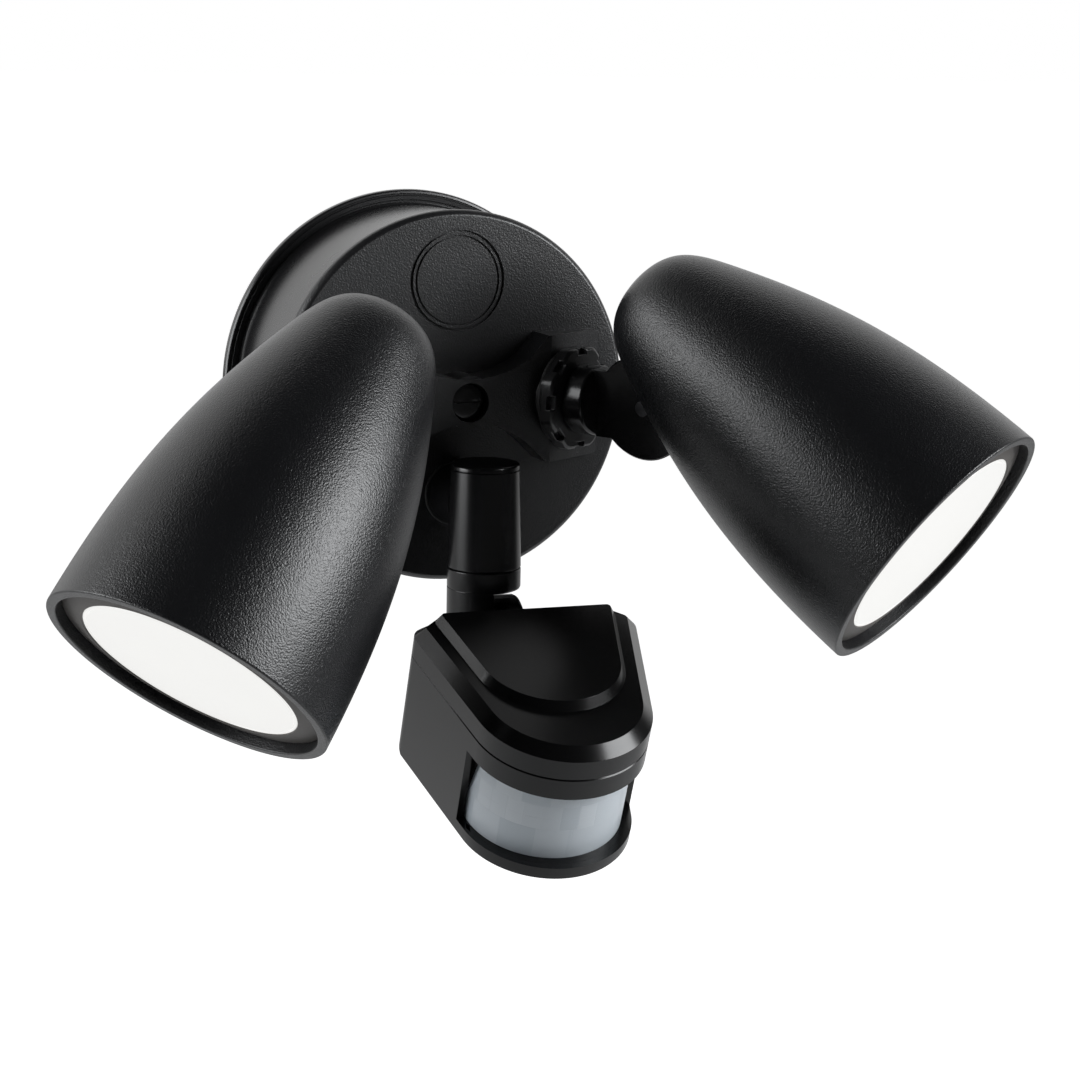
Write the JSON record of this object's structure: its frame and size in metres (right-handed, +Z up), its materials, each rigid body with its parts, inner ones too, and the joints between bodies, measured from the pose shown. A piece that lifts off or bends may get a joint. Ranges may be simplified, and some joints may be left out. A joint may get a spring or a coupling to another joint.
{
  "type": "motion sensor security light",
  "caption": "Round wall-mounted security light with bullet-shaped spot lamps on swivelling, tilting arms above a tilting motion sensor with a curved lens and setting dials underneath.",
  "frame": {"origin": "middle of the round wall pad's back face, on the wall", "axes": "+Y goes into the wall, the light stands out towards -Y, +Z is up and +X is the right-hand lamp as someone facing the wall sees it"},
  "size_m": [0.2965, 0.2002, 0.1951],
  "materials": {
    "foam": "closed-cell foam pad, matte",
    "gloss_black_plastic": "moulded black, glossy",
    "grained_black_plastic": "moulded black, fine grain",
    "satin_black_plastic": "moulded black, satin",
    "black_lamp_coating": "die-cast under a fine wrinkle black powder coat, satin",
    "bezel_plastic": "dark brownish grey, semi-matt",
    "frosted_diffuser": "frosted, lit from behind",
    "black_rubber": "soft black rubber",
    "reflector_metal": "bright vapour-coated cone",
    "bare_aluminium": "die-cast, as cast",
    "white_board": "white solder mask",
    "led_phosphor": "yellow phosphor",
    "driver_case": "dark moulded case",
    "screw_steel": "zinc plated",
    "terminal_brass": "plain brass",
    "white_terminal_plastic": "moulded white",
    "green_board": "green solder mask",
    "wire_sleeve": "brown sleeve",
    "sensor_lens_plastic": "milky, with a fine segment grid inside",
    "grey_dial_plastic": "moulded grey"
  },
  "bodies": {
    "wall_fixture": {"wall_gasket": "foam", "mount_box": "gloss_black_plastic", "terminal_block": "white_terminal_plastic", "terminal_screws": "terminal_brass", "earth_terminal": "terminal_brass", "control_board": "green_board", "board_components": "driver_case", "board_screws": "screw_steel", "supply_wires": "wire_sleeve", "cover_gasket": "black_rubber", "cover_plate": "grained_black_plastic", "cover_screw": "screw_steel", "screw_cap": "gloss_black_plastic", "elbow_seal": "black_rubber", "elbow_nut": "gloss_black_plastic", "sensor_elbow": "gloss_black_plastic", "elbow_cap": "gloss_black_plastic", "left_arm_washer": "black_rubber", "left_locknut": "gloss_black_plastic", "right_arm_washer": "black_rubber", "right_locknut": "gloss_black_plastic"},
    "left_lamp_arm": {"left_arm": "satin_black_plastic", "left_arm_retainer": "satin_black_plastic"},
    "left_lamp": {"left_lamp_housing": "black_lamp_coating", "left_bezel": "bezel_plastic", "left_diffuser": "frosted_diffuser", "left_lamp_seal": "black_rubber", "left_reflector": "reflector_metal", "left_led_board": "white_board", "left_led_chips": "led_phosphor", "left_heat_sink": "bare_aluminium", "left_lamp_driver": "driver_case", "left_pivot_bolt": "screw_steel"},
    "right_lamp_arm": {"right_arm": "satin_black_plastic", "right_arm_retainer": "satin_black_plastic"},
    "right_lamp": {"right_lamp_housing": "black_lamp_coating", "right_bezel": "bezel_plastic", "right_diffuser": "frosted_diffuser", "right_lamp_seal": "black_rubber", "right_reflector": "reflector_metal", "right_led_board": "white_board", "right_led_chips": "led_phosphor", "right_heat_sink": "bare_aluminium", "right_lamp_driver": "driver_case", "right_pivot_bolt": "screw_steel"},
    "sensor_arm": {"sensor_knuckle": "satin_black_plastic", "swivel_clip": "screw_steel", "sensor_pivot_screw": "screw_steel"},
    "sensor_head": {"sensor_body": "satin_black_plastic", "sensor_top_cover": "satin_black_plastic", "sensor_lens": "sensor_lens_plastic", "sensor_board": "green_board", "pyro_sensor": "screw_steel", "dial_board": "green_board", "dial_pots": "driver_case", "sensor_case_screws": "screw_steel", "sensor_pivot_nut": "screw_steel"},
    "time_adjuster": {"time_dial": "grey_dial_plastic"},
    "light_level_adjuster": {"light_level_dial": "grey_dial_plastic"},
    "range_adjuster": {"range_dial": "grey_dial_plastic"}
  },
  "joints": [
    {"name": "right_arm_swivel", "type": "hinge", "parent": "wall_fixture", "child": "right_lamp_arm", "pos_m": [0.0504, -0.0842, 0], "axis": [0.4695, -0.8829, 0], "range_deg": [-68.4, 81.6]},
    {"name": "right_lamp_tilt", "type": "hinge", "parent": "right_lamp_arm", "child": "right_lamp", "pos_m": [0.0504, -0.0842, 0], "axis": [0.8735, 0.4644, 0.1461], "range_deg": [-26.8, 45.2]},
    {"name": "left_arm_swivel", "type": "hinge", "parent": "wall_fixture", "child": "left_lamp_arm", "pos_m": [-0.0504, -0.0842, 0], "axis": [0.4695, 0.8829, 0], "range_deg": [-86.9, 63.1]},
    {"name": "left_lamp_tilt", "type": "hinge", "parent": "left_lamp_arm", "child": "left_lamp", "pos_m": [-0.0504, -0.0842, 0], "axis": [0.7874, -0.4187, -0.4524], "range_deg": [-48.5, 23.5]},
    {"name": "sensor_swivel", "type": "hinge", "parent": "wall_fixture", "child": "sensor_arm", "pos_m": [0, -0.0725, -0.0502], "axis": [0, 0, 1], "range_deg": [-68.5, 81.5]},
    {"name": "sensor_tilt", "type": "hinge", "parent": "sensor_arm", "child": "sensor_head", "pos_m": [0, -0.0725, -0.0715], "axis": [0.9936, -0.1132, 0], "range_deg": [-30.3, 32.7]},
    {"name": "time_dial_turn", "type": "hinge", "parent": "sensor_head", "child": "time_adjuster", "pos_m": [-0.01051, -0.10112, -0.11521], "axis": [-0.043, -0.377, 0.9252], "range_deg": [-135, 135]},
    {"name": "light_level_dial_turn", "type": "hinge", "parent": "sensor_head", "child": "light_level_adjuster", "pos_m": [0.00241, -0.1026, -0.11521], "axis": [-0.043, -0.377, 0.9252], "range_deg": [-135, 135]},
    {"name": "range_dial_turn", "type": "hinge", "parent": "sensor_head", "child": "range_adjuster", "pos_m": [0.01533, -0.10407, -0.11521], "axis": [-0.043, -0.377, 0.9252], "range_deg": [-135, 135]}
  ]
}
